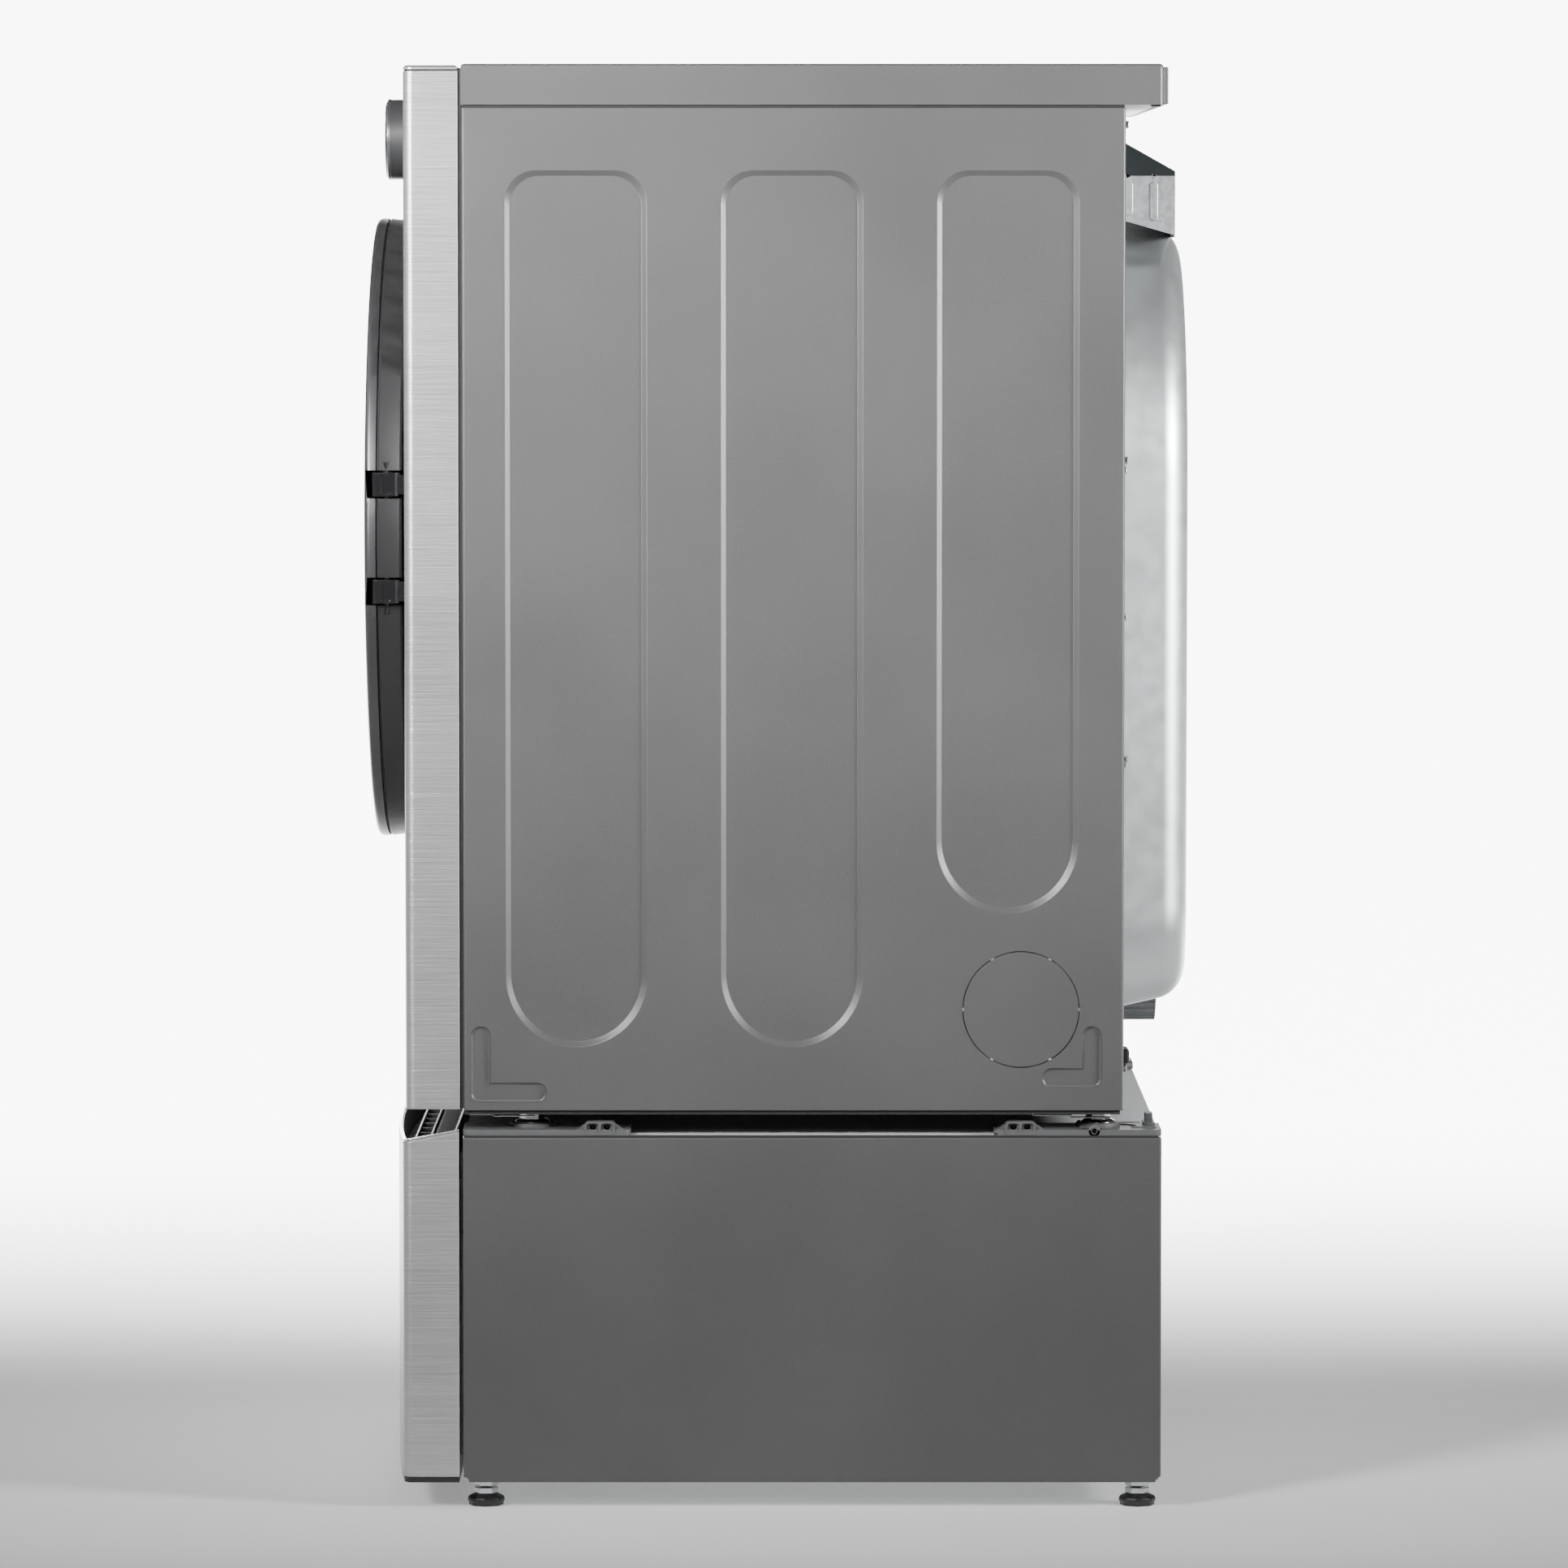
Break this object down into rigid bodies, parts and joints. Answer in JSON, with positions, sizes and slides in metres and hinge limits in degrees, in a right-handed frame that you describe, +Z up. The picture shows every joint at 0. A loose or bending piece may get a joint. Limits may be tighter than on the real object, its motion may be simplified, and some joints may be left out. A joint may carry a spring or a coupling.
{
  "type": "tumble dryer on drawer pedestal",
  "caption": "Free-standing front-load tumble dryer with round hinged door, turning drum and rear vent, on a pedestal with a sliding storage drawer and levelling feet.",
  "frame": {"origin": "on the floor, at the centre of the whole footprint", "axes": "+X right when facing the front, -Y front (door side), +Z up"},
  "size_m": [0.686, 0.77, 1.329],
  "materials": {
    "cabinet_paint": "satin pearl grey paint",
    "front_steel": "brushed stainless look",
    "cap": "satin silver",
    "display": "tinted lens",
    "galvanised": "galvanised steel",
    "black_plastic": "moulded",
    "grey_plastic": "moulded",
    "door_chrome": "dark graphite chrome",
    "knob": "satin dark metal look",
    "tinted_glass": "tinted",
    "clear_glass": "clear",
    "drum_steel": "stainless",
    "felt": "felt",
    "rubber": "ribbed",
    "zinc": "zinc plated steel",
    "cast_grey": "light grey",
    "trim_bright": "bright",
    "aluminium": "exhaust pipe",
    "steel": "plain steel",
    "board": "circuit board"
  },
  "bodies": {
    "cabinet": {"side_panel_left": "cabinet_paint", "side_panel_right": "cabinet_paint", "vent_knockouts": "cabinet_paint", "top_cover": "cabinet_paint", "front_panel": "front_steel", "front_top_cap": "cap", "display_window": "display", "rear_panel": "galvanised", "rear_duct_cover": "galvanised", "rear_hood": "galvanised", "exhaust_duct": "aluminium", "terminal_clip": "black_plastic", "base_pan": "galvanised", "machine_feet": "zinc", "front_bulkhead": "galvanised", "mouth_tunnel": "galvanised", "rear_bulkhead": "drum_steel", "drum_seals": "felt", "roller_shafts": "zinc", "drive_belt": "rubber", "motor_body": "steel", "blower_housing": "black_plastic", "lint_duct": "grey_plastic", "heater_box": "galvanised", "control_board": "board", "door_hinge_bracket": "black_plastic", "door_latch": "black_plastic", "pedestal_cabinet": "cabinet_paint", "pedestal_base": "galvanised", "pedestal_top_frame": "galvanised", "pedestal_brackets": "cast_grey", "bracket_screws": "zinc", "slide_outers": "zinc", "foot_locknuts": "zinc"},
    "door": {"door_front_ring": "door_chrome", "door_rear_ring": "door_chrome", "door_glass": "tinted_glass", "door_bowl": "clear_glass"},
    "drum": {"drum_shell": "drum_steel", "drum_lifters": "grey_plastic"},
    "roller_left": {"roller_left": "rubber"},
    "roller_right": {"roller_right": "rubber"},
    "motor_rotor": {"motor_shaft": "steel", "blower_wheel": "grey_plastic"},
    "idler_arm": {"idler_arm": "zinc"},
    "idler_pulley": {"idler_pulley": "grey_plastic"},
    "lint_filter": {"lint_filter": "grey_plastic"},
    "selector_knob": {"selector_knob": "knob"},
    "power_button": {"power_button": "knob"},
    "start_button": {"start_button": "knob"},
    "drawer": {"drawer_front": "front_steel", "drawer_trim": "trim_bright", "drawer_kick": "black_plastic", "drawer_box": "galvanised", "slide_inners": "zinc"},
    "slide_middles": {"slide_middles": "zinc"},
    "foot_front_left": {"foot_front_left": "black_plastic"},
    "foot_front_right": {"foot_front_right": "black_plastic"},
    "foot_rear_left": {"foot_rear_left": "black_plastic"},
    "foot_rear_right": {"foot_rear_right": "black_plastic"}
  },
  "joints": [
    {"name": "door_hinge", "type": "hinge", "parent": "cabinet", "child": "door", "pos_m": [0.284, -0.357, 0.8948], "axis": [0, 0, 1], "range_deg": [0, 120]},
    {"name": "drum_spin", "type": "hinge", "parent": "cabinet", "child": "drum", "pos_m": [0, 0, 0.8948], "axis": [0, 1, 0], "continuous": true},
    {"name": "roller_left_spin", "type": "hinge", "parent": "cabinet", "child": "roller_left", "pos_m": [-0.2091, 0.278, 0.64561], "axis": [0, 1, 0], "continuous": true},
    {"name": "roller_right_spin", "type": "hinge", "parent": "cabinet", "child": "roller_right", "pos_m": [0.2091, 0.278, 0.64561], "axis": [0, 1, 0], "continuous": true},
    {"name": "motor_spin", "type": "hinge", "parent": "cabinet", "child": "motor_rotor", "pos_m": [0.17, -0.04, 0.47], "axis": [0, 1, 0], "continuous": true},
    {"name": "idler_swing", "type": "hinge", "parent": "cabinet", "child": "idler_arm", "pos_m": [0.232, -0.029, 0.41], "axis": [0, 1, 0], "range_deg": [0, 8], "stiffness_Nm_per_rad": 6, "springref_deg": -8.59},
    {"name": "idler_spin", "type": "hinge", "parent": "idler_arm", "child": "idler_pulley", "pos_m": [0.22804, -0.04, 0.52497], "axis": [0, 1, 0], "continuous": true},
    {"name": "filter_lift", "type": "slide", "parent": "cabinet", "child": "lint_filter", "axis": [0, 0, 1], "range_m": [0, 0.13]},
    {"name": "knob_turn", "type": "hinge", "parent": "cabinet", "child": "selector_knob", "pos_m": [0, -0.354, 1.2644], "axis": [0, 1, 0], "continuous": true},
    {"name": "power_press", "type": "slide", "parent": "cabinet", "child": "power_button", "axis": [0, 1, 0], "range_m": [0, 0.0015], "stiffness_N_per_m": 400},
    {"name": "start_press", "type": "slide", "parent": "cabinet", "child": "start_button", "axis": [0, 1, 0], "range_m": [0, 0.0015], "stiffness_N_per_m": 400},
    {"name": "drawer_slide", "type": "slide", "parent": "cabinet", "child": "drawer", "axis": [0, -1, 0], "range_m": [0, 0.4]},
    {"name": "middle_slide", "type": "slide", "parent": "cabinet", "child": "slide_middles", "axis": [0, -1, 0], "range_m": [0, 0.2]},
    {"name": "foot_front_left_screw", "type": "slide", "parent": "cabinet", "child": "foot_front_left", "axis": [0, 0, -1], "range_m": [0, 0.012]},
    {"name": "foot_front_right_screw", "type": "slide", "parent": "cabinet", "child": "foot_front_right", "axis": [0, 0, -1], "range_m": [0, 0.012]},
    {"name": "foot_rear_left_screw", "type": "slide", "parent": "cabinet", "child": "foot_rear_left", "axis": [0, 0, -1], "range_m": [0, 0.012]},
    {"name": "foot_rear_right_screw", "type": "slide", "parent": "cabinet", "child": "foot_rear_right", "axis": [0, 0, -1], "range_m": [0, 0.012]}
  ],
  "couplings": [
    {"joint": "roller_left_spin", "follows": "drum_spin", "ratio": -15.25},
    {"joint": "roller_right_spin", "follows": "drum_spin", "ratio": -15.25},
    {"joint": "motor_spin", "follows": "drum_spin", "ratio": 20.02},
    {"joint": "idler_spin", "follows": "drum_spin", "ratio": -13.74},
    {"joint": "middle_slide", "follows": "drawer_slide", "ratio": 0.5}
  ]
}
